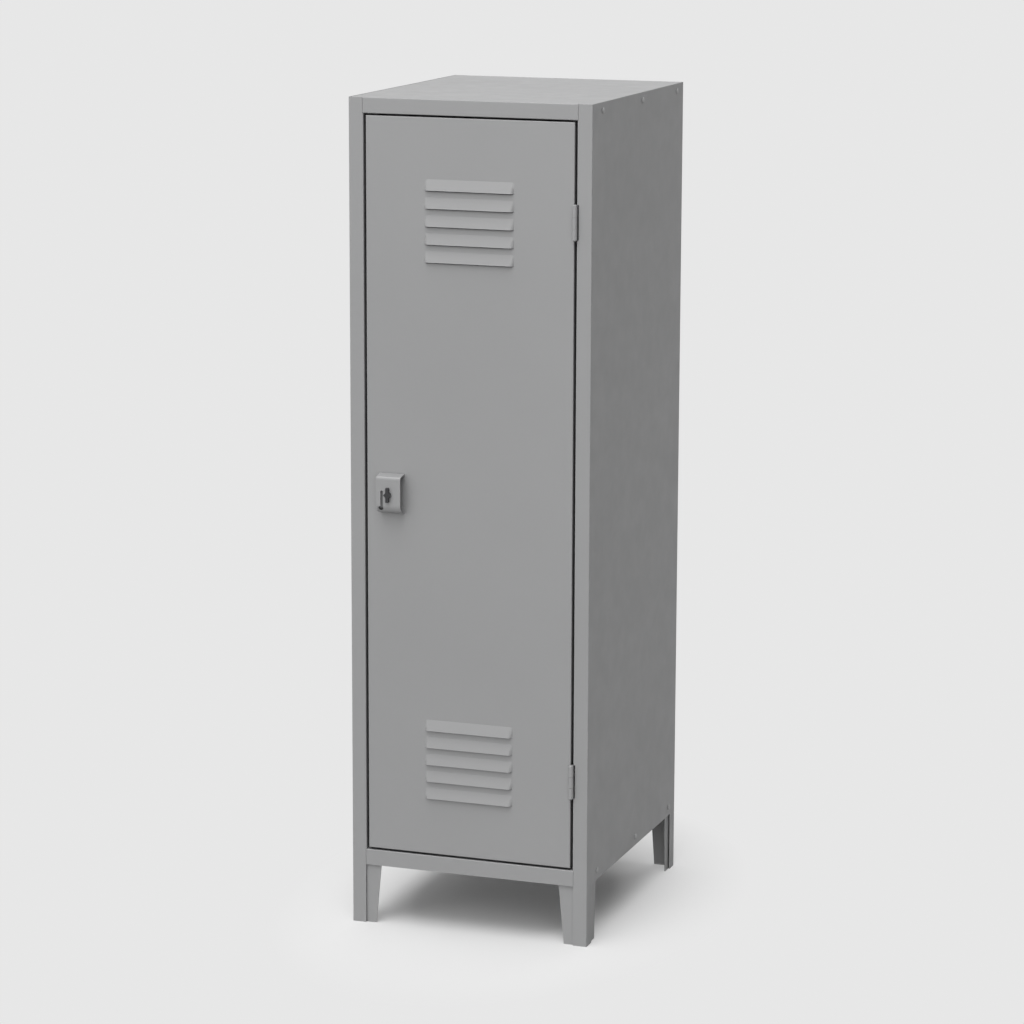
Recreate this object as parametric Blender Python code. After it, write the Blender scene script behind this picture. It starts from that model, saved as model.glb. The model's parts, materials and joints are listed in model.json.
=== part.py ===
"""Metal locker: a folded sheet-steel cabinet on four tapered legs, with one louvred door.

Metres, +Z up, the door faces -Y and hangs on its right edge (+X). The origin is on the
floor, under the middle of the overall box.
"""

import math

import bmesh
import bpy
from mathutils import Matrix, Vector

# Cabinet body
WIDTH = 0.380
DEPTH = 0.450
HEIGHT = 1.270
LEG_HEIGHT = 0.093
SHEET = 0.0010
SEAT = 0.0003
SEAM = 0.0005
FOLD_STEPS = 3
POST_WIDTH = 0.023
STOP_WIDTH = 0.014
REAR_FLANGE = 0.020
TOP_RAIL = 0.0235
BOTTOM_RAIL = 0.0245
RAIL_RETURN = 0.016
TRAY_FLANGE = 0.022

# Legs
TOE_WIDTH = 0.023
LEG_SHEET = 0.0015
LEG_SETBACK = 0.0034
LEG_FRONT_TOP = 0.0460
LEG_FRONT_FOOT = 0.0374
LEG_FRONT_SIDE_TOP = 0.0500
LEG_FRONT_SIDE_FOOT = 0.0445
LEG_REAR_TOP = 0.0383
LEG_REAR_FOOT = 0.0316
LEG_REAR_SIDE_TOP = 0.0432
LEG_REAR_SIDE_FOOT = 0.0377

# Door
DOOR_SIDE_GAP = 0.0041
DOOR_TOP_GAP = 0.0030
DOOR_BOTTOM_GAP = 0.0035
DOOR_DEPTH = 0.018
DOOR_LIP = 0.010
BUFFER_HEIGHT = 0.0027
BUFFER_RADIUS = 0.004
BUFFER_INSET = 0.180
STIFFENER_CROWN = 0.036
STIFFENER_FOOT = 0.013
STIFFENER_DEPTH = 0.012
STIFFENER_MARGIN = 0.030

# Louvres
LOUVRE_COUNT = 5
LOUVRE_WIDTH = 0.1405
LOUVRE_HEIGHT = 0.0165
LOUVRE_PITCH = 0.0266
LOUVRE_PROUD = 0.0050
LOUVRE_END = 0.0058
LOUVRE_END_STEPS = 4
LOUVRE_SLIT = 0.0016
LOUVRE_TOP_MARGIN = 0.0908
LOUVRE_BOTTOM_MARGIN = 0.0880

# Hinges
HINGE_LENGTH = 0.050
HINGE_FROM_TOP = 0.1455
HINGE_FROM_BOTTOM = 0.1355
LEAF_DEPTH = 0.015
LEAF_PLAY = 0.0007
NOTCH_WIDTH = 0.003
NOTCH_DEPTH = 0.006
NOTCH_MARGIN = 0.001
PIN_RADIUS = 0.0024
PIN_PLAY = 0.00015
PIN_HEAD = 0.0012
KNUCKLE_WALL = 0.00125
KNUCKLE_GAP = 0.0004

# Latch hood and lock
LOCK_INSET = 0.0414
LOCK_RISE = 0.558
HOOD_WIDTH = 0.0385
HOOD_ABOVE = 0.030
HOOD_BELOW = 0.031
HOOD_DEPTH = 0.020
HOOD_SHEET = 0.0015
HOOD_TOP_FALL = 0.003
HOOD_BOTTOM_RISE = 0.004
HOOD_TOP_ROUND = 0.005
HOOD_BOTTOM_ROUND = 0.014
HOOD_FOOT = 0.010
HOOD_ROUND_STEPS = 7
SLOT_OFFSET = 0.0102
SLOT_WIDTH = 0.0044
SLOT_ABOVE = 0.004
SLOT_BELOW = 0.0212
SLOT_EYE_RADIUS = 0.0036
SLOT_EYE_SHIFT = 0.0025
CASE_SETBACK = 0.0014
CASE_LEFT = 0.0178
CASE_RIGHT = 0.0088
CASE_ABOVE = 0.0105
CASE_BELOW = 0.0265
CASE_CHAMFER = 0.0068
LOCK_RADIUS = 0.008
LOCK_NECK_RADIUS = 0.0042
LOCK_BEHIND = 0.012
NUT_ACROSS = 0.024
NUT_THICKNESS = 0.005
SPINDLE_RADIUS = 0.0030
SPINDLE_PLAY = 0.00025
HUB_RADIUS = 0.0049
HUB_HEIGHT = 0.0018
WING_LENGTH = 0.0225
WING_WIDTH = 0.0046
WING_WAIST = 0.0115
WING_WAIST_HEIGHT = 0.0075
WING_CHAMFER = 0.0008
WING_HEIGHT = 0.0040
CAM_CLEAR = 0.0008
CAM_THICKNESS = 0.002
CAM_WIDTH = 0.014
CAM_LENGTH = 0.041
CAM_NUT_ACROSS = 0.010
CAM_NUT_THICKNESS = 0.004

# Shelf, clips and coat rail
SHELF_DROP = 0.285
SHELF_SETBACK = 0.012
SHELF_FRONT_FLANGE = 0.025
SHELF_FLANGE = 0.015
CLIP_SHEET = 0.0015
CLIP_LENGTH = 0.025
CLIP_DROP = 0.018
CLIP_REACH = 0.012
CLIP_INSET = 0.050
RAIL_RADIUS = 0.008
RAIL_WALL = 0.0012
RAIL_BELOW_SHELF = 0.060
SOCKET_PLATE = 0.002
SOCKET_PLATE_RADIUS = 0.016
SOCKET_WALL = 0.002
SOCKET_LENGTH = 0.012

# Rivets
RIVET_HEAD_RADIUS = 0.0048
RIVET_HEAD = 0.0023
RIVET_RADIUS = 0.0020
RIVET_TAIL = 0.0001
RIVET_FRONT = 0.048
RIVET_MIDDLE = 0.240
RIVET_REAR = 0.034
RIVET_BELOW_TOP = 0.012
RIVET_ABOVE_BASE = 0.014
BACK_RIVETS = 4
BACK_RIVET_MARGIN = 0.060

# Facets of round pieces
ROUND = 20
SMALL_ROUND = 12

# Places worked out from the sizes above
FOLD = SHEET + SEAT
LEG_FOLD = LEG_SHEET + SEAT
LEG_STEP = 2 * FOLD
PROJECTION = HOOD_DEPTH + 2 * SEAT + HUB_HEIGHT + WING_HEIGHT
FRONT = (PROJECTION - DEPTH - RIVET_HEAD) / 2
BACK = FRONT + DEPTH
HALF = WIDTH / 2
WALL = HALF - SHEET - SEAT
REBATE = DOOR_DEPTH + BUFFER_HEIGHT + 2 * SEAT
OPENING_HALF = HALF - POST_WIDTH
FLOOR_TOP = LEG_HEIGHT + BOTTOM_RAIL
OPENING_TOP = HEIGHT - TOP_RAIL
DOOR_HALF = OPENING_HALF - DOOR_SIDE_GAP
DOOR_BOTTOM = FLOOR_TOP + DOOR_BOTTOM_GAP
DOOR_TOP = OPENING_TOP - DOOR_TOP_GAP
BACK_FACE = BACK - SHEET - SEAT
INNER_BACK = BACK_FACE - SHEET
STOP_EDGE = OPENING_HALF - STOP_WIDTH
STOP_BACK = FRONT + REBATE + SHEET
KNUCKLE_RADIUS = PIN_RADIUS + PIN_PLAY + KNUCKLE_WALL
LEAF = (DOOR_SIDE_GAP - 2 * SEAT - LEAF_PLAY) / 2
HINGE_X = OPENING_HALF - DOOR_SIDE_GAP / 2
HINGE_Y = FRONT - KNUCKLE_RADIUS - SEAT
UPPER_HINGE = DOOR_TOP - HINGE_FROM_TOP
LOWER_HINGE = DOOR_BOTTOM + HINGE_FROM_BOTTOM
LOCK_X = LOCK_INSET - DOOR_HALF
LOCK_Z = DOOR_BOTTOM + LOCK_RISE
HOOD_FRONT = FRONT - SEAT - HOOD_DEPTH
CASE_FRONT = HOOD_FRONT + HOOD_SHEET + CASE_SETBACK
CASE_BACK = FRONT - 2 * SEAT - HOOD_SHEET
CAM_FRONT = STOP_BACK + CAM_CLEAR
SHELF_TOP = HEIGHT - SHELF_DROP
LOUVRE_RUN = LOUVRE_PITCH * (LOUVRE_COUNT - 1)
UPPER_LIP = DOOR_TOP - LOUVRE_TOP_MARGIN - LOUVRE_HEIGHT - LOUVRE_RUN
LOWER_LIP = DOOR_BOTTOM + LOUVRE_BOTTOM_MARGIN

# Finishes: colour, roughness, metallic
COAT = ((0.33, 0.33, 0.335), 0.5, 0.0)
DARK = ((0.03, 0.03, 0.032), 0.4, 0.6)
ZINC = ((0.60, 0.60, 0.60), 0.35, 1.0)
RUBBER = ((0.03, 0.03, 0.03), 0.8, 0.0)


def clear_scene():
    for obj in list(bpy.data.objects):
        bpy.data.objects.remove(obj, do_unlink=True)


def link(name, bm):
    """Make an object of a bmesh."""
    mesh = bpy.data.meshes.new(name)
    bm.to_mesh(mesh)
    bm.free()
    obj = bpy.data.objects.new(name, mesh)
    bpy.context.scene.collection.objects.link(obj)
    return obj


def paint(obj, finish):
    colour, roughness, metallic = finish
    material = bpy.data.materials.new(obj.name + "_finish")
    material.use_nodes = True
    shader = material.node_tree.nodes["Principled BSDF"]
    shader.inputs["Base Color"].default_value = (*colour, 1.0)
    shader.inputs["Roughness"].default_value = roughness
    shader.inputs["Metallic"].default_value = metallic
    obj.data.materials.append(material)
    return obj


def hide_as_tool(obj):
    obj.hide_render = True
    obj.display_type = "WIRE"
    return obj


def combine(obj, tool, operation):
    modifier = obj.modifiers.new(tool.name, "BOOLEAN")
    modifier.operation = operation
    modifier.solver = "EXACT"
    modifier.object = hide_as_tool(tool)
    return obj


def cut(obj, tool):
    return combine(obj, tool, "DIFFERENCE")


def join(obj, tool):
    return combine(obj, tool, "UNION")


def smooth(obj, angle=math.radians(35)):
    obj.data.shade_smooth()
    obj.data.set_sharp_from_angle(angle=angle)
    return obj


def rounded_path(corners, radii, steps=FOLD_STEPS):
    """Points of a path with its inner corners rounded, and where each rounding starts and ends."""
    points = [Vector(corners[0])]
    spans = []
    for before, corner, after, radius in zip(corners, corners[1:], corners[2:], radii):
        corner = Vector(corner)
        back = (Vector(before) - corner).normalized()
        ahead = (Vector(after) - corner).normalized()
        half = back.angle(ahead) / 2
        centre = corner + (back + ahead).normalized() * (radius / math.sin(half))
        start = corner + back * (radius / math.tan(half)) - centre
        end = corner + ahead * (radius / math.tan(half)) - centre
        turn = start.angle_signed(end)
        spans.append((len(points), len(points) + steps))
        for step in range(steps + 1):
            swing = Matrix.Rotation(-turn * step / steps, 2)
            points.append(centre + swing @ start)
    points.append(Vector(corners[-1]))
    return points, spans


def as_sheet(name, bm, outward, thickness, finish):
    """Turn an outer surface, whose first face looks outward, into folded sheet."""
    loose = [vert for vert in bm.verts if not vert.link_faces]
    bmesh.ops.delete(bm, geom=loose, context="VERTS")
    bmesh.ops.recalc_face_normals(bm, faces=bm.faces)
    bm.faces.ensure_lookup_table()
    if bm.faces[0].normal.dot(Vector(outward)) < 0:
        bmesh.ops.reverse_faces(bm, faces=bm.faces)
    obj = paint(link(name, bm), finish)
    modifier = obj.modifiers.new("sheet", "SOLIDIFY")
    modifier.thickness = thickness
    modifier.offset = -1.0
    modifier.use_even_offset = True
    modifier.use_quality_normals = True
    return obj


def ruled_surface(rows, kept=None):
    """A bmesh with quads between neighbouring rows of points, where kept(row, segment) is true."""
    bm = bmesh.new()
    grid = [[bm.verts.new(point) for point in row] for row in rows]
    for row, (low, high) in enumerate(zip(grid, grid[1:])):
        for segment in range(len(low) - 1):
            if kept is None or kept(row, segment):
                bm.faces.new((low[segment], low[segment + 1], high[segment + 1], high[segment]))
    return bm


def tray(name, xs, ys, top, flanges, finish=COAT):
    """A flat sheet with down-turned flanges: side, span along the edge and profile of each."""
    bm = bmesh.new()
    plate = {(x, y): bm.verts.new((x, y, top)) for x in xs for y in ys}
    for x, next_x in zip(xs, xs[1:]):
        for y, next_y in zip(ys, ys[1:]):
            bm.faces.new((plate[x, y], plate[next_x, y], plate[next_x, next_y], plate[x, next_y]))
    for side, span, profile in flanges:
        out = {"front": (0, -1), "back": (0, 1), "left": (-1, 0), "right": (1, 0)}[side]
        if out[0] == 0:
            edge = [(x, ys[0] if side == "front" else ys[-1]) for x in xs]
            edge = [spot for spot in edge if span[0] <= spot[0] <= span[1]]
        else:
            edge = [(xs[0] if side == "left" else xs[-1], y) for y in ys]
            edge = [spot for spot in edge if span[0] <= spot[1] <= span[1]]
        columns = []
        for x, y in edge:
            column = [plate[x, y]]
            for reach, drop in profile[1:]:
                column.append(bm.verts.new((x + out[0] * reach, y + out[1] * reach, top + drop)))
            columns.append(column)
        for column, following in zip(columns, columns[1:]):
            for step in range(len(profile) - 1):
                quad = (column[step], following[step], following[step + 1], column[step + 1])
                bm.faces.new(quad)
    return as_sheet(name, bm, (0, 0, 1), SHEET, finish)


def down_flange(height, back=0.0):
    """Profile of a flange folded down from a tray's edge, with an optional return at its foot."""
    corners = [(-FOLD, 0), (FOLD, 0), (FOLD, -height)]
    if back:
        corners.append((FOLD - back, -height))
    points, _ = rounded_path(corners, [FOLD] * (len(corners) - 2))
    return points[1:]


def turned(name, profile, segments=ROUND, ring=False):
    """A solid turned round local Z from (radius, height) points; a ring's profile closes on itself."""
    bm = bmesh.new()
    rings = []
    for radius, height in profile:
        count = segments if radius else 1
        angles = [2 * math.pi * (step + 0.5) / segments for step in range(count)]
        rings.append([
            bm.verts.new((radius * math.cos(angle), radius * math.sin(angle), height))
            for angle in angles
        ])
    following = rings[1:] + rings[:1] if ring else rings[1:]
    for low, high in zip(rings, following):
        for step in range(segments):
            beside = (step + 1) % segments
            corners = (
                low[step % len(low)],
                low[beside % len(low)],
                high[beside % len(high)],
                high[step % len(high)],
            )
            bm.faces.new(list(dict.fromkeys(corners)))
    bmesh.ops.recalc_face_normals(bm, faces=bm.faces)
    return link(name, bm)


def prism(name, outline, low, high, place):
    """A straight solid on a 2-D outline; place turns (u, v, along) into a point."""
    bm = bmesh.new()
    ends = [[bm.verts.new(place(u, v, along)) for u, v in outline] for along in (low, high)]
    bm.faces.new(ends[0])
    bm.faces.new(ends[1])
    for step in range(len(outline)):
        beside = (step + 1) % len(outline)
        bm.faces.new((ends[0][step], ends[0][beside], ends[1][beside], ends[1][step]))
    bmesh.ops.recalc_face_normals(bm, faces=bm.faces)
    return link(name, bm)


def along_x(u, v, along):
    return (along, u, v)


def along_y(u, v, along):
    return (u, along, v)


def circle(radius, segments, centre=(0.0, 0.0), turn=0.5):
    angles = [2 * math.pi * (step + turn) / segments for step in range(segments)]
    return [
        (centre[0] + radius * math.cos(angle), centre[1] + radius * math.sin(angle))
        for angle in angles
    ]


def stadium(radius, centre, low, high, segments=SMALL_ROUND):
    """Outline of an upright slot with round ends between two centres at heights low and high."""
    points = []
    for step in range(segments + 1):
        angle = math.pi * step / segments
        points.append((centre + radius * math.cos(angle), high + radius * math.sin(angle)))
    for step in range(segments + 1):
        angle = math.pi * (1 + step / segments)
        points.append((centre + radius * math.cos(angle), low + radius * math.sin(angle)))
    return points


def hexagon(across):
    return circle(across / math.sqrt(3), 6, turn=0.0)


def drill(name, spots, direction, radius, length):
    """One tool of several round bars, centred on spots and lying along direction."""
    bm = bmesh.new()
    turn = Vector((0, 0, 1)).rotation_difference(Vector(direction)).to_matrix().to_4x4()
    for spot in spots:
        bmesh.ops.create_cone(
            bm, cap_ends=True, segments=SMALL_ROUND, radius1=radius, radius2=radius,
            depth=length, matrix=Matrix.Translation(spot) @ turn,
        )
    return link(name, bm)


def face_towards(obj, direction):
    """Turn an object so that its local Z points along direction."""
    obj.rotation_mode = "QUATERNION"
    obj.rotation_quaternion = Vector((0, 0, 1)).rotation_difference(Vector(direction))
    return obj


def side_rivet_spots(side):
    places = (FRONT + RIVET_FRONT, FRONT + RIVET_MIDDLE, BACK - RIVET_REAR)
    heights = (HEIGHT - RIVET_BELOW_TOP, LEG_HEIGHT + RIVET_ABOVE_BASE)
    return [(side * HALF, y, z) for z in heights for y in places]


def back_rivet_spots(side):
    low = FLOOR_TOP + BACK_RIVET_MARGIN
    high = OPENING_TOP - BACK_RIVET_MARGIN
    step = (high - low) / (BACK_RIVETS - 1)
    return [(side * (HALF - REAR_FLANGE / 2), BACK, low + step * n) for n in range(BACK_RIVETS)]


def drill_rivets(obj, spots, direction):
    hole = RIVET_RADIUS + SEAT
    return cut(obj, drill(obj.name + "_drill", spots, direction, hole, POST_WIDTH / 2))


def side_panel(name, side):
    """Rear flange, wall, front post, rebate and door stop, folded from one sheet with a toe at each end."""
    corners = [
        (HALF - REAR_FLANGE, BACK),
        (HALF, BACK),
        (HALF, FRONT),
        (HALF - POST_WIDTH, FRONT),
        (HALF - POST_WIDTH, FRONT + REBATE),
        (STOP_EDGE, FRONT + REBATE),
    ]
    path, folds = rounded_path(corners, [FOLD] * 4)
    rear_toe = folds[0][1] + 1
    path[rear_toe:rear_toe] = [Vector((HALF, BACK - TOE_WIDTH)), Vector((HALF, FRONT + TOE_WIDTH))]
    post_end = folds[2][0] + 2

    def kept(row, segment):
        if row == 0:
            return segment < post_end and segment != rear_toe
        return row == 2 or segment < post_end

    levels = (0.0, LEG_HEIGHT, FLOOR_TOP + SEAT, OPENING_TOP - SEAT, HEIGHT)
    surface = ruled_surface([[(side * x, y, z) for x, y in path] for z in levels], kept)
    panel = as_sheet(name, surface, (0, 1, 0), SHEET, COAT)
    drill_rivets(panel, side_rivet_spots(side), (1, 0, 0))
    return cut(panel, drill(name + "_back_drill", back_rivet_spots(side), (0, 1, 0),
                            RIVET_RADIUS + SEAT, REAR_FLANGE / 2))


def notch_for_hinge(panel, middle):
    """Cut-out in the post's front fold, beside a hinge's barrel."""
    low = middle - HINGE_LENGTH / 2 - NOTCH_MARGIN
    high = middle + HINGE_LENGTH / 2 + NOTCH_MARGIN
    edge = OPENING_HALF + NOTCH_WIDTH
    corners = [(DOOR_HALF, low), (edge, low), (edge, high), (DOOR_HALF, high)]
    notch = prism(panel.name + "_notch", corners, FRONT - NOTCH_DEPTH, FRONT + NOTCH_DEPTH, along_y)
    return cut(panel, notch)


def back_panel():
    bm = bmesh.new()
    corners = [(-WALL, FLOOR_TOP + SEAT), (WALL, FLOOR_TOP + SEAT),
               (WALL, HEIGHT - SHEET - SEAT), (-WALL, HEIGHT - SHEET - SEAT)]
    bm.faces.new([bm.verts.new((x, BACK_FACE, z)) for x, z in corners])
    panel = as_sheet("back_panel", bm, (0, 1, 0), SHEET, COAT)
    spots = back_rivet_spots(-1) + back_rivet_spots(1)
    return drill_rivets(panel, spots, (0, 1, 0))


def end_tray(name, top, rail, rail_return):
    """Top or bottom panel: its front flange is the rail between the posts."""
    wall = WALL - FOLD
    rail_end = HALF - POST_WIDTH + FOLD - SEAM
    rear_end = HALF - REAR_FLANGE - SEAM
    xs = sorted({-wall, -rail_end, -rear_end, rear_end, rail_end, wall})
    ys = [FRONT + FOLD, INNER_BACK - SEAT, BACK_FACE]
    flanges = [
        ("front", (-rail_end, rail_end), down_flange(rail, rail_return)),
        ("back", (-rear_end, rear_end), down_flange(rail)),
        ("left", (ys[0], ys[1]), down_flange(TRAY_FLANGE)),
        ("right", (ys[0], ys[1]), down_flange(TRAY_FLANGE)),
    ]
    return tray(name, xs, ys, top, flanges)


def top_panel():
    panel = end_tray("top_panel", HEIGHT, TOP_RAIL, RAIL_RETURN)
    spots = [spot for side in (-1, 1) for spot in side_rivet_spots(side)[:3]]
    return drill_rivets(panel, spots, (1, 0, 0))


def bottom_panel():
    panel = end_tray("bottom_panel", FLOOR_TOP, BOTTOM_RAIL, 0.0)
    spots = [spot for side in (-1, 1) for spot in side_rivet_spots(side)[3:]]
    return drill_rivets(panel, spots, (1, 0, 0))


def leg(name, side, end):
    """Angle inside the corner of the cabinet, with tapered flanges that show beside the toe."""
    if end < 0:
        edge = FRONT
        foot = Vector((LEG_FRONT_FOOT, LEG_FRONT_SIDE_FOOT))
        top = Vector((LEG_FRONT_TOP, LEG_FRONT_SIDE_TOP))
    else:
        edge = BACK
        foot = Vector((LEG_REAR_FOOT, LEG_REAR_SIDE_FOOT))
        top = Vector((LEG_REAR_TOP, LEG_REAR_SIDE_TOP))
    rows = []
    for z in (0.0, LEG_HEIGHT, FLOOR_TOP - SHEET - SEAT):
        across, along = foot.lerp(top, min(z / LEG_HEIGHT, 1.0))
        corners = [(across, LEG_SETBACK), (LEG_STEP, LEG_SETBACK), (LEG_STEP, along)]
        path, _ = rounded_path(corners, [LEG_FOLD])
        rows.append([(side * (HALF - a), edge - end * b, z) for a, b in path])
    return as_sheet(name, ruled_surface(rows), (0, end, 0), LEG_SHEET, COAT)


def louvre_columns():
    """Places across the louvres, each with its share of the full rise: round ends, level middle."""
    columns = []
    for step in range(LOUVRE_END_STEPS + 1):
        share = step / LOUVRE_END_STEPS
        rise = math.sin(math.pi / 2 * share)
        columns.append((LOUVRE_WIDTH / 2 - LOUVRE_END * share, rise))
    left = [(-x, rise) for x, rise in columns]
    return left + columns[::-1]


def door_rows():
    """Heights up the louvres, each with its share of the rise: 1 at an open lip, 0 at the crease above."""
    rows = []
    for lowest in (LOWER_LIP, UPPER_LIP):
        for number in range(LOUVRE_COUNT):
            lip = lowest + number * LOUVRE_PITCH
            rows += [(lip, 1.0), (lip + LOUVRE_HEIGHT, 0.0)]
    return rows


def door_edge():
    """Section round the door's edge: face, fold, return and lip, then back along the inside."""
    back = FRONT + DOOR_DEPTH
    outer = [(2 * FOLD, FRONT), (0, FRONT), (0, back), (DOOR_LIP, back)]
    inside = back - SHEET
    inner = [(2 * FOLD, FRONT + SHEET), (SHEET, FRONT + SHEET), (SHEET, inside), (DOOR_LIP, inside)]
    over, _ = rounded_path(outer, [FOLD] * 2)
    under, _ = rounded_path(inner, [SEAT] * 2)
    return over[1:] + under[:0:-1]


def door_rings(bm):
    """Rectangles of vertices round the door, one for each point of its edge section."""
    rings = []
    for inset, y in door_edge():
        x = DOOR_HALF - inset
        low = DOOR_BOTTOM + inset
        high = DOOR_TOP - inset
        places = [(-x, y, low), (x, y, low), (x, y, high), (-x, y, high)]
        rings.append([bm.verts.new(place) for place in places])
    for ring, following in zip(rings, rings[1:]):
        for corner in range(4):
            beside = (corner + 1) % 4
            bm.faces.new((ring[corner], ring[beside], following[beside], following[corner]))
    return rings[0], rings[-1]


def louvred_face(bm, y, rim):
    """One side of the door's face inside its rim, and the sheared edges under and over each lip."""
    columns = louvre_columns()
    last = len(columns) - 1
    under, over = [], []
    for z, share in door_rows():
        upper = [bm.verts.new((x, y - LOUVRE_PROUD * rise * share, z)) for x, rise in columns]
        lower = list(upper)
        if share == 1.0:
            for index in range(1, last):
                x, rise = columns[index]
                lower[index] = bm.verts.new((x, y, z - LOUVRE_SLIT * rise))
        over.append(upper)
        under.append(lower)
    for low, high in zip(over, under[1:]):
        for index in range(last):
            bm.faces.new((low[index], low[index + 1], high[index + 1], high[index]))
    bm.faces.new(rim[:2] + under[0][::-1])
    bm.faces.new(rim[1:3] + [row[last] for row in over[::-1]])
    bm.faces.new(rim[2:] + over[-1])
    bm.faces.new([rim[3], rim[0]] + [row[0] for row in over])
    return [edges for edges in zip(under, over) if edges[0] != edges[1]]


def door_skin():
    """Louvred face with returns folded back round it and a lip turned in behind."""
    bm = bmesh.new()
    outer_rim, inner_rim = door_rings(bm)
    outer_lips = louvred_face(bm, FRONT, outer_rim)
    inner_lips = louvred_face(bm, FRONT + SHEET, inner_rim)
    for outer_pair, inner_pair in zip(outer_lips, inner_lips):
        for outer, inner in zip(outer_pair, inner_pair):
            for index in range(len(outer) - 1):
                bm.faces.new((outer[index], outer[index + 1], inner[index + 1], inner[index]))
    bmesh.ops.recalc_face_normals(bm, faces=bm.faces)
    skin = paint(link("door_skin", bm), COAT)
    hole = drill("door_skin_drill", [(LOCK_X, FRONT, LOCK_Z)], (0, 1, 0), LOCK_RADIUS + SEAT, DOOR_DEPTH)
    return cut(skin, hole)


def door_stiffener():
    """Hat channel against the back of the skin, between the two groups of louvres."""
    foot = FRONT + 2 * SHEET + SEAT
    crown = foot + STIFFENER_DEPTH
    half = STIFFENER_CROWN / 2
    corners = [
        (-half - STIFFENER_FOOT, foot),
        (-half, foot),
        (-half, crown),
        (half, crown),
        (half, foot),
        (half + STIFFENER_FOOT, foot),
    ]
    path, _ = rounded_path(corners, [FOLD] * 4)
    low = LOWER_LIP + LOUVRE_RUN + LOUVRE_HEIGHT + STIFFENER_MARGIN
    high = UPPER_LIP - STIFFENER_MARGIN
    surface = ruled_surface([[(x, y, z) for x, y in path] for z in (low, high)])
    return as_sheet("door_stiffener", surface, (0, 1, 0), SHEET, COAT)


def door_buffer(name, height):
    """Rubber stud on the latch-side stop that the door's lip closes against."""
    profile = [
        (0, 0),
        (BUFFER_RADIUS, 0),
        (BUFFER_RADIUS, 0.6 * BUFFER_HEIGHT),
        (0.7 * BUFFER_RADIUS, BUFFER_HEIGHT),
        (0, BUFFER_HEIGHT),
    ]
    stud = paint(smooth(turned(name, profile, SMALL_ROUND)), RUBBER)
    stud.location = (-(DOOR_HALF + STOP_EDGE) / 2, FRONT + REBATE - SEAT, height)
    return face_towards(stud, (0, -1, 0))


def latch_hood():
    """Strap bent out from the door: feet under the hood, top, round front and sloping bottom."""
    seat = FRONT - SEAT
    top = LOCK_Z + HOOD_ABOVE
    bottom = LOCK_Z - HOOD_BELOW
    corners = [
        (seat, top - HOOD_FOOT),
        (seat, top),
        (HOOD_FRONT, top - HOOD_TOP_FALL),
        (HOOD_FRONT, bottom + HOOD_BOTTOM_RISE),
        (seat, bottom),
        (seat, bottom + HOOD_FOOT),
    ]
    tight = HOOD_SHEET + SEAT
    radii = [tight, HOOD_TOP_ROUND, HOOD_BOTTOM_ROUND, tight]
    path, _ = rounded_path(corners, radii, HOOD_ROUND_STEPS)
    half = HOOD_WIDTH / 2
    surface = ruled_surface([[(x, y, z) for y, z in path] for x in (LOCK_X - half, LOCK_X + half)])
    hood = as_sheet("latch_hood", surface, (0, 1, 0), HOOD_SHEET, COAT)
    cut(hood, drill("latch_hood_drill", [(LOCK_X, HOOD_FRONT, LOCK_Z)], (0, 1, 0),
                    LOCK_NECK_RADIUS + SEAT, HOOD_DEPTH / 2))
    slot_x = LOCK_X - SLOT_OFFSET
    low = LOCK_Z - SLOT_BELOW
    near = HOOD_FRONT - HOOD_DEPTH / 4
    far = HOOD_FRONT + HOOD_DEPTH / 2
    slot = stadium(SLOT_WIDTH / 2, slot_x, low, LOCK_Z + SLOT_ABOVE, SMALL_ROUND // 2)
    eye = circle(SLOT_EYE_RADIUS, SMALL_ROUND, (slot_x - SLOT_EYE_SHIFT, low))
    cut(hood, prism("latch_hood_slot", slot, near, far, along_y))
    return cut(hood, prism("latch_hood_eye", eye, near, far, along_y))


def on_lock_axis(obj, y):
    """Set a turned piece on the lock's axis with its local Z towards the back."""
    obj.location = (LOCK_X, y, LOCK_Z)
    return face_towards(obj, (0, 1, 0))


def lock_body():
    """Case inside the hood, with a neck through the hood's front and a barrel through the door's skin."""
    middle = (CASE_FRONT + CASE_BACK) / 2 - HOOD_FRONT
    end = FRONT + LOCK_BEHIND - HOOD_FRONT
    profile = [
        (0, 0),
        (LOCK_NECK_RADIUS, 0),
        (LOCK_NECK_RADIUS, middle),
        (LOCK_RADIUS, middle),
        (LOCK_RADIUS, end),
        (0, end),
    ]
    body = on_lock_axis(paint(smooth(turned("lock_body", profile)), DARK), HOOD_FRONT)
    low = LOCK_Z - CASE_BELOW
    high = LOCK_Z + CASE_ABOVE
    corners = [
        (CASE_FRONT, high),
        (CASE_FRONT, low + CASE_CHAMFER),
        (CASE_FRONT + CASE_CHAMFER, low),
        (CASE_BACK, low),
        (CASE_BACK, high),
    ]
    join(body, prism("lock_body_case", corners, LOCK_X - CASE_LEFT, LOCK_X + CASE_RIGHT, along_x))
    return cut(body, drill("lock_body_bore", [(LOCK_X, FRONT, LOCK_Z)], (0, 1, 0),
                           SPINDLE_RADIUS + SPINDLE_PLAY, 4 * HOOD_DEPTH))


def lock_nut():
    """Hexagon nut on the barrel, behind the door's skin."""
    low = FRONT + SHEET + SEAT
    outline = [(LOCK_X + u, LOCK_Z + v) for u, v in hexagon(NUT_ACROSS)]
    nut = paint(prism("lock_nut", outline, low, low + NUT_THICKNESS, along_y), ZINC)
    return cut(nut, drill("lock_nut_drill", [(LOCK_X, low, LOCK_Z)], (0, 1, 0),
                          LOCK_RADIUS + SEAT, 4 * NUT_THICKNESS))


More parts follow.
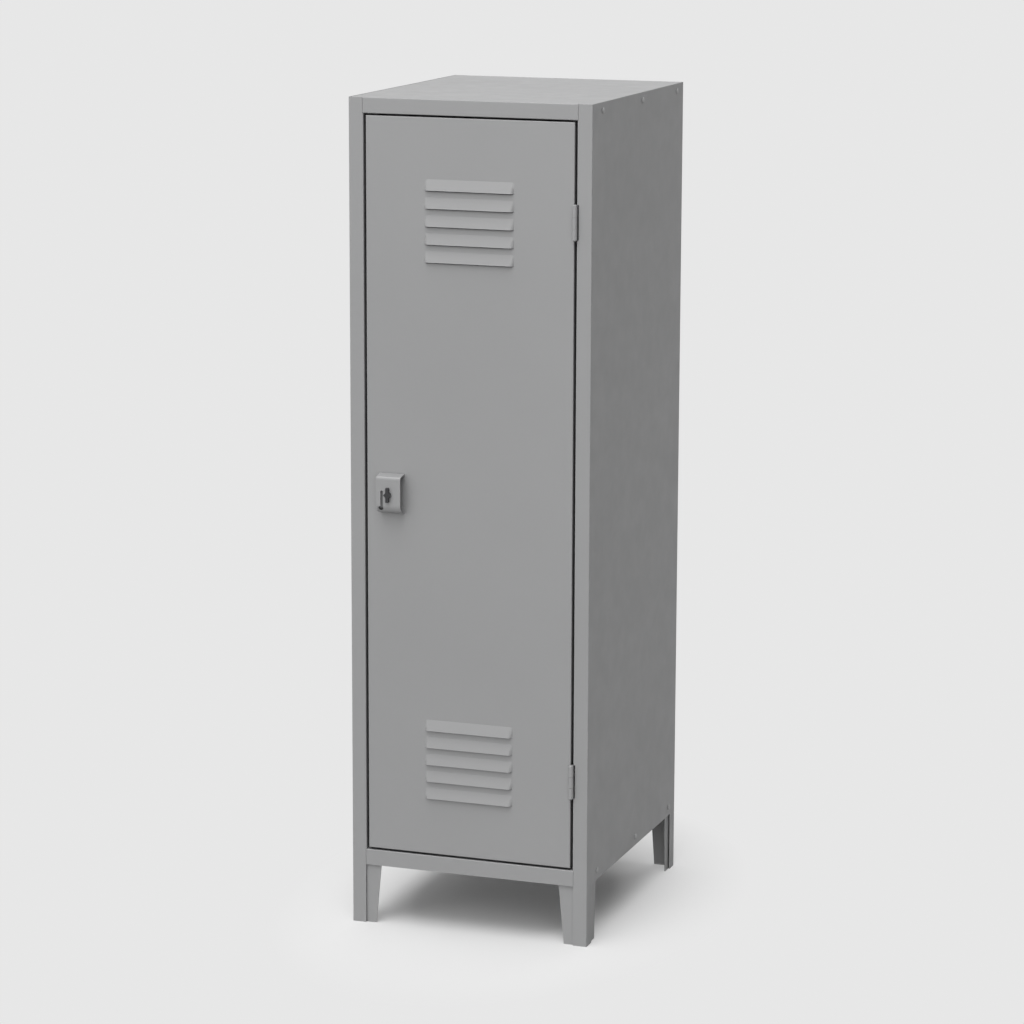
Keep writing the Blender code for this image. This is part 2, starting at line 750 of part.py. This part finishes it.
def turn_wing():
    """Hub and wing in front of the hood, in one piece with the spindle."""
    base = HOOD_FRONT - SEAT
    tip = CAM_FRONT + CAM_THICKNESS + SEAT + CAM_NUT_THICKNESS
    profile = [
        (0, -HUB_HEIGHT),
        (0.8 * HUB_RADIUS, -HUB_HEIGHT),
        (HUB_RADIUS, -0.7 * HUB_HEIGHT),
        (HUB_RADIUS, 0),
        (SPINDLE_RADIUS, 0),
        (SPINDLE_RADIUS, tip - base),
        (0, tip - base),
    ]
    wing = on_lock_axis(paint(smooth(turned("turn_wing", profile)), DARK), base)
    half = WING_WIDTH / 2
    reach = WING_LENGTH / 2
    quarter = [
        (WING_WAIST / 2, 0),
        (half, WING_WAIST_HEIGHT / 2),
        (half, reach - WING_CHAMFER),
        (half - WING_CHAMFER, reach),
    ]
    upper = quarter + [(-u, v) for u, v in quarter[::-1]]
    outline = [(LOCK_X + u, LOCK_Z + v) for u, v in upper + [(-u, -v) for u, v in upper[1:-1]]]
    front = base - HUB_HEIGHT - WING_HEIGHT
    return join(wing, prism("turn_wing_blade", outline, front, base - HUB_HEIGHT / 2, along_y))


def lock_cam():
    """Flat tongue on the spindle; hanging down it is unlocked, turned left it goes behind the stop."""
    half = CAM_WIDTH / 2
    outline = stadium(half, LOCK_X, LOCK_Z - CAM_LENGTH + half, LOCK_Z, SMALL_ROUND // 2)
    cam = paint(prism("lock_cam", outline, CAM_FRONT, CAM_FRONT + CAM_THICKNESS, along_y), ZINC)
    return cut(cam, drill("lock_cam_drill", [(LOCK_X, CAM_FRONT, LOCK_Z)], (0, 1, 0),
                          SPINDLE_RADIUS + SEAT, 4 * CAM_THICKNESS))


def cam_nut():
    low = CAM_FRONT + CAM_THICKNESS + SEAT
    outline = [(LOCK_X + u, LOCK_Z + v) for u, v in hexagon(CAM_NUT_ACROSS)]
    nut = paint(prism("cam_nut", outline, low, low + CAM_NUT_THICKNESS, along_y), ZINC)
    return cut(nut, drill("cam_nut_drill", [(LOCK_X, low, LOCK_Z)], (0, 1, 0),
                          SPINDLE_RADIUS + SEAT, 4 * CAM_NUT_THICKNESS))


def hinge_leaf(name, middle, low_x, knuckles):
    """Plate in the gap beside the door, with rolled knuckles in front of it."""
    half = HINGE_LENGTH / 2
    front = FRONT + SEAT
    rear = FRONT + LEAF_DEPTH
    neck = HINGE_Y + PIN_RADIUS + PIN_PLAY + KNUCKLE_WALL / 2
    outline = [(front, middle - half), (rear, middle - half), (rear, middle + half), (front, middle + half)]
    for low, high in sorted(knuckles, reverse=True):
        outline += [(front, middle + high - SEAT), (neck, middle + high - SEAT)]
        outline += [(neck, middle + low + SEAT), (front, middle + low + SEAT)]
    leaf = paint(prism(name, outline, low_x, low_x + LEAF, along_x), COAT)
    centres = [(HINGE_X, HINGE_Y, middle + (low + high) / 2) for low, high in knuckles]
    length = knuckles[0][1] - knuckles[0][0]
    barrel = round_bars(name + "_barrel", centres, KNUCKLE_RADIUS, length)
    bore = round_bars(name + "_bore", [(HINGE_X, HINGE_Y, middle)], PIN_RADIUS + PIN_PLAY, 2 * HINGE_LENGTH)
    return cut(join(leaf, barrel), bore)


def round_bars(name, centres, radius, length):
    """Upright round bars, as one tool."""
    bm = bmesh.new()
    for centre in centres:
        bmesh.ops.create_cone(
            bm, cap_ends=True, segments=ROUND, radius1=radius, radius2=radius,
            depth=length, matrix=Matrix.Translation(centre),
        )
    return link(name, bm)


def hinge_pin(name, middle):
    """Pin through the knuckles, headed at both ends."""
    half = HINGE_LENGTH / 2 + SEAT
    head = 0.9 * KNUCKLE_RADIUS
    profile = [
        (0, -half - PIN_HEAD),
        (0.7 * head, -half - PIN_HEAD),
        (head, -half),
        (PIN_RADIUS, -half),
        (PIN_RADIUS, half),
        (head, half),
        (0.7 * head, half + PIN_HEAD),
        (0, half + PIN_HEAD),
    ]
    pin = paint(smooth(turned(name, profile)), COAT)
    pin.location = (HINGE_X, HINGE_Y, middle)
    return pin


def hinge(name, middle):
    """Frame leaf with the outer knuckles, door leaf with the middle one, and the pin."""
    half = HINGE_LENGTH / 2
    length = (HINGE_LENGTH - 2 * KNUCKLE_GAP) / 3
    outer = [(-half, -half + length), (half - length, half)]
    inner = [(-length / 2, length / 2)]
    frame_leaf = hinge_leaf(name + "_frame_leaf", middle, OPENING_HALF - SEAT - LEAF, outer)
    door_leaf = hinge_leaf(name + "_door_leaf", middle, DOOR_HALF + SEAT, inner)
    return frame_leaf, door_leaf, hinge_pin(name + "_pin", middle)


def shelf():
    """Hat shelf, folded down on all four sides."""
    wall = WALL - FOLD
    xs = [-wall, wall]
    ys = [STOP_BACK + SHELF_SETBACK + FOLD, INNER_BACK - SEAT - FOLD]
    flanges = [
        ("front", (-wall, wall), down_flange(SHELF_FRONT_FLANGE)),
        ("back", (-wall, wall), down_flange(SHELF_FLANGE)),
        ("left", (ys[0], ys[1]), down_flange(SHELF_FLANGE)),
        ("right", (ys[0], ys[1]), down_flange(SHELF_FLANGE)),
    ]
    return tray("shelf", xs, ys, SHELF_TOP, flanges)


def shelf_clip(name, side, middle):
    """Angle on the side wall that the shelf's flange stands on."""
    top = SHELF_TOP - SHELF_FLANGE - SEAT
    corners = [(WALL, top - CLIP_DROP), (WALL, top), (WALL - CLIP_REACH, top)]
    path, _ = rounded_path(corners, [CLIP_SHEET + SEAT])
    half = CLIP_LENGTH / 2
    surface = ruled_surface([[(side * x, y, z) for x, z in path] for y in (middle - half, middle + half)])
    return as_sheet(name, surface, (side, 0, 0), CLIP_SHEET, ZINC)


def rail_place():
    """Middle of the coat rail, seen from the side."""
    y = (STOP_BACK + INNER_BACK) / 2
    return y, SHELF_TOP - SHELF_FRONT_FLANGE - RAIL_BELOW_SHELF


def coat_rail():
    half = WALL - SOCKET_PLATE - SEAT
    bore = RAIL_RADIUS - RAIL_WALL
    profile = [(bore, -half), (RAIL_RADIUS, -half), (RAIL_RADIUS, half), (bore, half)]
    rail = paint(smooth(turned("coat_rail", profile, ring=True)), ZINC)
    y, z = rail_place()
    rail.location = (0, y, z)
    return face_towards(rail, (1, 0, 0))


def rail_socket(name, side):
    """Cup on the side wall that holds one end of the rail."""
    cup = RAIL_RADIUS + SEAT
    profile = [
        (0, 0),
        (SOCKET_PLATE_RADIUS, 0),
        (SOCKET_PLATE_RADIUS, SOCKET_PLATE),
        (cup + SOCKET_WALL, SOCKET_PLATE),
        (cup + SOCKET_WALL, SOCKET_LENGTH),
        (cup, SOCKET_LENGTH),
        (cup, SOCKET_PLATE),
        (0, SOCKET_PLATE),
    ]
    socket = paint(smooth(turned(name, profile)), ZINC)
    y, z = rail_place()
    socket.location = (side * WALL, y, z)
    return face_towards(socket, (-side, 0, 0))


def rivet(name, spot, direction):
    """Domed head outside the sheet and a short shank through it."""
    tail = 2 * SHEET + SEAT + RIVET_TAIL
    profile = [
        (0, -tail),
        (RIVET_RADIUS, -tail),
        (RIVET_RADIUS, SEAT),
        (RIVET_HEAD_RADIUS, SEAT),
        (0.75 * RIVET_HEAD_RADIUS, 0.75 * RIVET_HEAD),
        (0, RIVET_HEAD),
    ]
    obj = paint(smooth(turned(name, profile, SMALL_ROUND)), COAT)
    obj.location = spot
    return face_towards(obj, direction)


def rivets():
    for side, word in ((-1, "left"), (1, "right")):
        for number, spot in enumerate(side_rivet_spots(side), start=1):
            rivet(f"rivet_{word}_{number}", spot, (side, 0, 0))
        for number, spot in enumerate(back_rivet_spots(side), start=1):
            rivet(f"rivet_back_{word}_{number}", spot, (0, 1, 0))


def pivot(name, place, parent=None):
    """Empty on a joint's axis."""
    empty = bpy.data.objects.new(name, None)
    bpy.context.scene.collection.objects.link(empty)
    empty.location = place
    if parent:
        hang(empty, parent)
    return empty


def hang(obj, parent):
    """Parent an object without moving it."""
    bpy.context.view_layer.update()
    obj.parent = parent
    obj.matrix_parent_inverse = parent.matrix_world.inverted()


def main():
    clear_scene()
    side_panel("side_panel_left", -1)
    right = side_panel("side_panel_right", 1)
    notch_for_hinge(right, UPPER_HINGE)
    notch_for_hinge(right, LOWER_HINGE)
    back_panel()
    top_panel()
    bottom_panel()
    for side, side_word in ((-1, "left"), (1, "right")):
        leg(f"leg_front_{side_word}", side, -1)
        leg(f"leg_rear_{side_word}", side, 1)
        rail_socket(f"rail_socket_{side_word}", side)
        shelf_clip(f"shelf_clip_front_{side_word}", side, STOP_BACK + SHELF_SETBACK + CLIP_INSET)
        shelf_clip(f"shelf_clip_rear_{side_word}", side, INNER_BACK - CLIP_INSET)
    shelf()
    coat_rail()
    door_buffer("door_buffer_upper", DOOR_TOP - BUFFER_INSET)
    door_buffer("door_buffer_lower", DOOR_BOTTOM + BUFFER_INSET)
    rivets()

    door_pivot = pivot("door_pivot", (HINGE_X, HINGE_Y, DOOR_BOTTOM))
    lock_pivot = pivot("lock_pivot", (LOCK_X, HOOD_FRONT, LOCK_Z), door_pivot)
    for piece in (door_skin(), door_stiffener(), latch_hood(), lock_body(), lock_nut()):
        hang(piece, door_pivot)
    for piece in (turn_wing(), lock_cam(), cam_nut()):
        hang(piece, lock_pivot)
    for name, middle in (("hinge_upper", UPPER_HINGE), ("hinge_lower", LOWER_HINGE)):
        _, door_leaf, _ = hinge(name, middle)
        hang(door_leaf, door_pivot)


main()
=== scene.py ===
"""Looks of the metal locker: finishes, a pale floor, soft light and the photograph's camera."""

import json
import math

import bpy
from mathutils import Matrix, Vector

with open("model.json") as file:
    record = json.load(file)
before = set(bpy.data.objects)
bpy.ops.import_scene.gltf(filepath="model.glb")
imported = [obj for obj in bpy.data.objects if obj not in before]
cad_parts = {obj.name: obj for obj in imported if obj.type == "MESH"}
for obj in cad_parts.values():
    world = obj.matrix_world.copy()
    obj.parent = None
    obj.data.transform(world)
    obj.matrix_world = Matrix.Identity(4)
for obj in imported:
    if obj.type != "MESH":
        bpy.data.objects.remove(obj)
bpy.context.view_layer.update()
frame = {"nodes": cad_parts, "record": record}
nodes = frame["nodes"]
scene = bpy.context.scene
scene.view_settings.view_transform = "Standard"

# The camera, fitted to the edges of the cabinet in the photograph.
CAMERA_AZIMUTH = math.radians(19.522)
CAMERA_ELEVATION = math.radians(11.344)
CAMERA_ROLL = math.radians(0.187)
CAMERA_PLACE = (1.8043, -5.1090, 1.7046)
CAMERA_SENSOR_MM = 36.0
CAMERA_LENS_MM = 125.31
CAMERA_CLIP_END = 500.0

# Colours of the finishes.
COAT_DARK, COAT_LIGHT = (0.318, 0.319, 0.322), (0.334, 0.335, 0.338)
COAT_GRAIN = (0.40, 0.40, 0.405)
# Lighter along edges: partly wear, partly a painted highlight on the folds.
COAT_WEAR_AND_HIGHLIGHT = (0.46, 0.46, 0.465)
# The colour of shade painted deep into seams and gaps.
COAT_PAINTED_SHADE = (0.075, 0.075, 0.076)
# Rivet heads a little brighter than the coat: a painted highlight on the domes.
RIVET_HIGHLIGHT_COLOURS = (0.322, 0.322, 0.325), (0.372, 0.372, 0.376)
WING_COLOURS = (0.035, 0.035, 0.037), (0.055, 0.055, 0.058)
WING_RUBBED = (0.16, 0.16, 0.165)
LOCK_CASE_COLOURS = (0.14, 0.14, 0.143), (0.19, 0.19, 0.193)
ZINC_COLOURS = (0.50, 0.50, 0.51), (0.64, 0.64, 0.64)
RUBBER_COLOURS = (0.022, 0.022, 0.023), (0.040, 0.040, 0.041)

# The floor: its tone where it is seen, the tone that bounces light, and the half axes of the
# ellipse around the object, in metres, by which it fades into the backdrop.
BACKDROP = (0.80, 0.80, 0.80, 1.0)
FLOOR_HALF_SIDE = 150.0
FLOOR_DARK, FLOOR_LIGHT = (0.780, 0.780, 0.780), (0.800, 0.800, 0.800)
FLOOR_BOUNCE = (0.26, 0.26, 0.26)
FADE_HALF_AXES = (0.19, 0.30)
FADE_START, FADE_END = 0.75, 1.85

# The lamps.
OVERHEAD_STRENGTH = 1.78
OVERHEAD_FROM = (-0.05, -0.22, 1.0)
OVERHEAD_ANGLE = math.radians(48.0)
SOFTBOX_WATTS = 5.6
SOFTBOX_FROM = (0.05, -1.3, 1.1)
SOFTBOX_PLACE = (0.15, -1.5, 2.3)
SOFTBOX_SIZE = 1.0

# The room's soft lights: where each comes from, the cosine of its half angle, and its strength.
ROOM_LIGHTS = (
    ((0.0, -1.0, 0.35), 0.55, 1.92),
    ((0.0, 1.0, 0.30), 0.55, 1.46),
    ((-1.0, -0.10, 0.50), 0.60, 0.40),
)

# Sockets of a mix node that is set to colours.
MIX_FACTOR, MIX_FIRST, MIX_SECOND, MIX_RESULT = 0, 6, 7, 2


def add_camera():
    """Add the photograph's camera."""
    back = Vector((
        math.sin(CAMERA_AZIMUTH) * math.cos(CAMERA_ELEVATION),
        -math.cos(CAMERA_AZIMUTH) * math.cos(CAMERA_ELEVATION),
        math.sin(CAMERA_ELEVATION),
    ))
    level = Vector((math.cos(CAMERA_AZIMUTH), math.sin(CAMERA_AZIMUTH), 0.0))
    upright = back.cross(level)
    right = math.cos(CAMERA_ROLL) * level + math.sin(CAMERA_ROLL) * upright
    up = math.cos(CAMERA_ROLL) * upright - math.sin(CAMERA_ROLL) * level
    data = bpy.data.cameras.new("camera")
    data.sensor_width = CAMERA_SENSOR_MM
    data.lens = CAMERA_LENS_MM
    data.clip_end = CAMERA_CLIP_END
    camera = bpy.data.objects.new("camera", data)
    scene.collection.objects.link(camera)
    turn = Matrix((right, up, back)).transposed().to_4x4()
    camera.matrix_world = Matrix.Translation(CAMERA_PLACE) @ turn
    scene.camera = camera


def new_material(name):
    """A material with its node tree, its shader and the place on the object."""
    material = bpy.data.materials.new(name)
    material.use_nodes = True
    tree = material.node_tree
    place = tree.nodes.new("ShaderNodeTexCoord").outputs["Object"]
    return material, tree, tree.nodes["Principled BSDF"], place


def add_node(tree, kind, **values):
    """A node with its settings and input values; underscores stand for spaces in their names."""
    node = tree.nodes.new(kind)
    for key, value in values.items():
        if hasattr(node, key):
            setattr(node, key, value)
        else:
            node.inputs[key.replace("_", " ")].default_value = value
    return node


def noise(tree, place, scale, detail, roughness=0.5):
    node = add_node(tree, "ShaderNodeTexNoise", Scale=scale, Detail=detail, Roughness=roughness)
    tree.links.new(place, node.inputs["Vector"])
    return node.outputs["Fac"]


def ramp(tree, value, low, high, start=0.3, end=0.7):
    """Map a value's span from start to end, by default a noise's, to the span from low to high."""
    node = add_node(
        tree, "ShaderNodeMapRange", From_Min=start, From_Max=end, To_Min=low, To_Max=high
    )
    tree.links.new(value, node.inputs["Value"])
    return node.outputs["Result"]


def blend(tree, factor, first, second):
    """Mix of two colours, each a fixed colour or another node's output."""
    node = add_node(tree, "ShaderNodeMix", data_type="RGBA")
    for socket, colour in ((MIX_FIRST, first), (MIX_SECOND, second)):
        if isinstance(colour, tuple):
            node.inputs[socket].default_value = (*colour, 1.0)
        else:
            tree.links.new(colour, node.inputs[socket])
    tree.links.new(factor, node.inputs[MIX_FACTOR])
    return node.outputs[MIX_RESULT]


def combine(tree, operation, first, second):
    """Result of a math node on two outputs, or on an output and a fixed number."""
    node = add_node(tree, "ShaderNodeMath", operation=operation)
    for socket, value in enumerate((first, second)):
        if isinstance(value, float):
            node.inputs[socket].default_value = value
        else:
            tree.links.new(value, node.inputs[socket])
    return node.outputs["Value"]


def edges(tree, radius):
    """1 along edges, 0 on open faces, by how far a rounded edge would turn the surface."""
    rounded = add_node(tree, "ShaderNodeBevel", samples=6, Radius=radius)
    surface = tree.nodes.new("ShaderNodeNewGeometry")
    dot = add_node(tree, "ShaderNodeVectorMath", operation="DOT_PRODUCT")
    tree.links.new(rounded.outputs["Normal"], dot.inputs[0])
    tree.links.new(surface.outputs["Normal"], dot.inputs[1])
    return ramp(tree, dot.outputs["Value"], low=1.0, high=0.0, start=0.90, end=0.99)


def crevice_shade(tree, distance):
    """1 deep in seams and gaps, 0 on open faces; the mask for shade painted into the colour."""
    shade = add_node(tree, "ShaderNodeAmbientOcclusion", samples=8, Distance=distance)
    return ramp(tree, shade.outputs["AO"], low=1.0, high=0.0, start=0.08, end=0.42)


def roughen(tree, shader, height, strength, distance):
    bump = add_node(tree, "ShaderNodeBump", Strength=strength, Distance=distance)
    tree.links.new(height, bump.inputs["Height"])
    tree.links.new(bump.outputs["Normal"], shader.inputs["Normal"])


def powder_coat(name, smoothest, roughest):
    """Satin powder coat with faint clouds, grain, orange peel, edges lighter from wear and a
    painted highlight, and painted shade in seams.
    """
    material, tree, shader, place = new_material(name)
    clouds = noise(tree, place, scale=3.0, detail=3.0)
    grain = noise(tree, place, scale=900.0, detail=2.0)
    patches = noise(tree, place, scale=35.0, detail=4.0, roughness=0.6)
    peel = noise(tree, place, scale=420.0, detail=3.0)
    # Edges lighter in patches: partly wear, partly a painted highlight on the folds.
    wear = ramp(tree, patches, low=0.10, high=0.55)
    rubbed = combine(tree, "MULTIPLY", edges(tree, radius=0.0016), wear)
    colour = blend(tree, ramp(tree, clouds, low=0.0, high=1.0), COAT_DARK, COAT_LIGHT)
    colour = blend(tree, ramp(tree, grain, low=0.0, high=0.12), colour, COAT_GRAIN)
    colour = blend(tree, rubbed, colour, COAT_WEAR_AND_HIGHLIGHT)
    # Painted shade: seams and gaps darkened where ambient occlusion is deep.
    colour = blend(tree, crevice_shade(tree, distance=0.012), colour, COAT_PAINTED_SHADE)
    tree.links.new(colour, shader.inputs["Base Color"])
    tree.links.new(ramp(tree, patches, smoothest, roughest), shader.inputs["Roughness"])
    roughen(tree, shader, peel, strength=0.12, distance=0.0004)
    return material


def grained(name, colours, roughness, relief, scale, detail=3.0, metallic=0.0, rubbed=None):
    """A finish with one fine grain in colour, sheen and relief; rubbed is its colour at edges."""
    material, tree, shader, place = new_material(name)
    grain = noise(tree, place, scale, detail)
    colour = blend(tree, ramp(tree, grain, low=0.0, high=1.0), *colours)
    if rubbed:
        wear = combine(tree, "MULTIPLY", edges(tree, radius=0.0006), 0.35)
        colour = blend(tree, wear, colour, rubbed)
    tree.links.new(colour, shader.inputs["Base Color"])
    tree.links.new(ramp(tree, grain, *roughness), shader.inputs["Roughness"])
    roughen(tree, shader, grain, *relief)
    shader.inputs["Metallic"].default_value = metallic
    return material


def dark_metal():
    """Blackened die-cast wing, rubbed lighter along its edges."""
    return grained(
        "dark_metal", WING_COLOURS, roughness=(0.38, 0.55), relief=(0.15, 0.0002),
        scale=1500.0, metallic=0.4, rubbed=WING_RUBBED,
    )


def zinc():
    """Zinc plate with faint spangle."""
    return grained(
        "zinc", ZINC_COLOURS, roughness=(0.28, 0.48), relief=(0.08, 0.0003),
        scale=260.0, detail=4.0, metallic=1.0,
    )


def rubber():
    """Black rubber with a dull bloom."""
    return grained(
        "rubber", RUBBER_COLOURS, roughness=(0.7, 0.9), relief=(0.2, 0.0003), scale=700.0
    )


def cast_metal():
    """Grey die-cast lock case with a sandy skin."""
    return grained(
        "cast_metal", LOCK_CASE_COLOURS, roughness=(0.45, 0.62), relief=(0.25, 0.0003),
        scale=1100.0, metallic=0.2,
    )


def rivet_coat_painted_highlight():
    """The coat on a domed rivet head, a little brighter than the coat: a painted highlight."""
    return grained(
        "rivet_coat_painted_highlight", RIVET_HIGHLIGHT_COLOURS, roughness=(0.36, 0.50), relief=(0.10, 0.0003),
        scale=700.0, metallic=0.3,
    )


def dress_nodes():
    """Give every CAD node its slot's finish; hood, lock case and rivets have their own."""
    slot_finishes = {
        "coat": powder_coat("powder_coat", smoothest=0.42, roughest=0.54),
        "dark_metal": dark_metal(),
        "zinc": zinc(),
        "rubber": rubber(),
    }
    own_finishes = {
        "latch_hood": powder_coat("handled_coat", smoothest=0.27, roughest=0.36),
        "lock_body": cast_metal(),
    }
    # The rivet heads' brighter coat is a painted highlight.
    rivet_highlight_finish = rivet_coat_painted_highlight()
    for part in frame["record"]["subparts"]:
        name = part["node"]
        finish = own_finishes.get(name, slot_finishes[part["material_slot"]])
        if name.startswith("rivet_"):
            finish = rivet_highlight_finish
        nodes[name].data.materials.clear()
        nodes[name].data.materials.append(finish)


def seen_directly(tree):
    """1 for rays that show the background: from the camera, or by way of gloss or glass."""
    path = tree.nodes.new("ShaderNodeLightPath")
    seen = path.outputs["Is Camera Ray"]
    for kind in ("Is Glossy Ray", "Is Transmission Ray"):
        seen = combine(tree, "MAXIMUM", seen, path.outputs[kind])
    return seen


def mix_shaders(tree, factor, first, second, output):
    mix = tree.nodes.new("ShaderNodeMixShader")
    tree.links.new(factor, mix.inputs["Fac"])
    tree.links.new(first, mix.inputs[1])
    tree.links.new(second, mix.inputs[2])
    tree.links.new(mix.outputs["Shader"], tree.nodes[output].inputs["Surface"])


def add_floor():
    """Pale matt floor that keeps the shadow and fades into the backdrop around the object."""
    data = bpy.data.meshes.new("floor")
    side = FLOOR_HALF_SIDE
    corners = [(-side, -side, 0), (side, -side, 0), (side, side, 0), (-side, side, 0)]
    data.from_pydata(corners, [], [(0, 1, 2, 3)])
    floor = bpy.data.objects.new("floor", data)
    scene.collection.objects.link(floor)
    material, tree, shader, place = new_material("floor")
    seen = seen_directly(tree)
    clouds = ramp(tree, noise(tree, place, scale=0.6, detail=2.0), low=0.0, high=1.0)
    pale = blend(tree, clouds, FLOOR_DARK, FLOOR_LIGHT)
    tree.links.new(blend(tree, seen, FLOOR_BOUNCE, pale), shader.inputs["Base Color"])
    shader.inputs["Roughness"].default_value = 0.9
    shader.inputs["Specular IOR Level"].default_value = 0.0
    reach = add_node(tree, "ShaderNodeVectorMath", operation="MULTIPLY")
    reach.inputs[1].default_value = (1 / FADE_HALF_AXES[0], 1 / FADE_HALF_AXES[1], 0.0)
    tree.links.new(place, reach.inputs[0])
    away = add_node(tree, "ShaderNodeVectorMath", operation="LENGTH")
    tree.links.new(reach.outputs["Vector"], away.inputs[0])
    fade = ramp(tree, away.outputs["Value"], low=0.0, high=1.0, start=FADE_START, end=FADE_END)
    glow = add_node(tree, "ShaderNodeEmission", Color=BACKDROP)
    mix_shaders(
        tree, combine(tree, "MULTIPLY", fade, seen), shader.outputs["BSDF"],
        glow.outputs["Emission"], "Material Output",
    )
    data.materials.append(material)


def lobe(tree, direction, towards, edge, strength):
    """Light that grows smoothly from a cone's edge to its axis; edge is its half angle's cosine."""
    dot = add_node(tree, "ShaderNodeVectorMath", operation="DOT_PRODUCT")
    dot.inputs[1].default_value = Vector(towards).normalized()
    tree.links.new(direction, dot.inputs[0])
    rise = add_node(
        tree, "ShaderNodeMapRange", interpolation_type="SMOOTHSTEP",
        From_Min=edge, From_Max=1.0, To_Max=strength,
    )
    tree.links.new(dot.outputs["Value"], rise.inputs["Value"])
    return rise.outputs["Result"]


def add_lamp(name, kind, energy, source):
    """A lamp that shines from the direction of its source."""
    data = bpy.data.lights.new(name, kind)
    data.energy = energy
    lamp = bpy.data.objects.new(name, data)
    lamp.rotation_euler = Vector(source).to_track_quat("Z", "Y").to_euler()
    scene.collection.objects.link(lamp)
    return lamp


def add_lamps():
    """Wide soft light from overhead, and a weak softbox high in front that fades downwards."""
    overhead = add_lamp("overhead", "SUN", OVERHEAD_STRENGTH, OVERHEAD_FROM)
    overhead.data.angle = OVERHEAD_ANGLE
    softbox = add_lamp("softbox", "AREA", SOFTBOX_WATTS, SOFTBOX_FROM)
    softbox.data.size = SOFTBOX_SIZE
    softbox.location = SOFTBOX_PLACE
    softbox.visible_camera = False


def add_light():
    """Soft light from the front, from behind and, fainter, from the left, and a pale backdrop."""
    world = bpy.data.worlds.new("room")
    scene.world = world
    world.use_nodes = True
    tree = world.node_tree
    direction = tree.nodes.new("ShaderNodeTexCoord").outputs["Generated"]
    first, *others = [lobe(tree, direction, *light) for light in ROOM_LIGHTS]
    total = first
    for light in others:
        total = combine(tree, "ADD", total, light)
    sky = tree.nodes["Background"]
    sky.inputs["Color"].default_value = (1.0, 1.0, 1.0, 1.0)
    tree.links.new(total, sky.inputs["Strength"])
    backdrop = add_node(tree, "ShaderNodeBackground", Color=BACKDROP)
    mix_shaders(
        tree, seen_directly(tree), sky.outputs["Background"],
        backdrop.outputs["Background"], "World Output",
    )


add_camera()
dress_nodes()
add_floor()
add_lamps()
add_light()
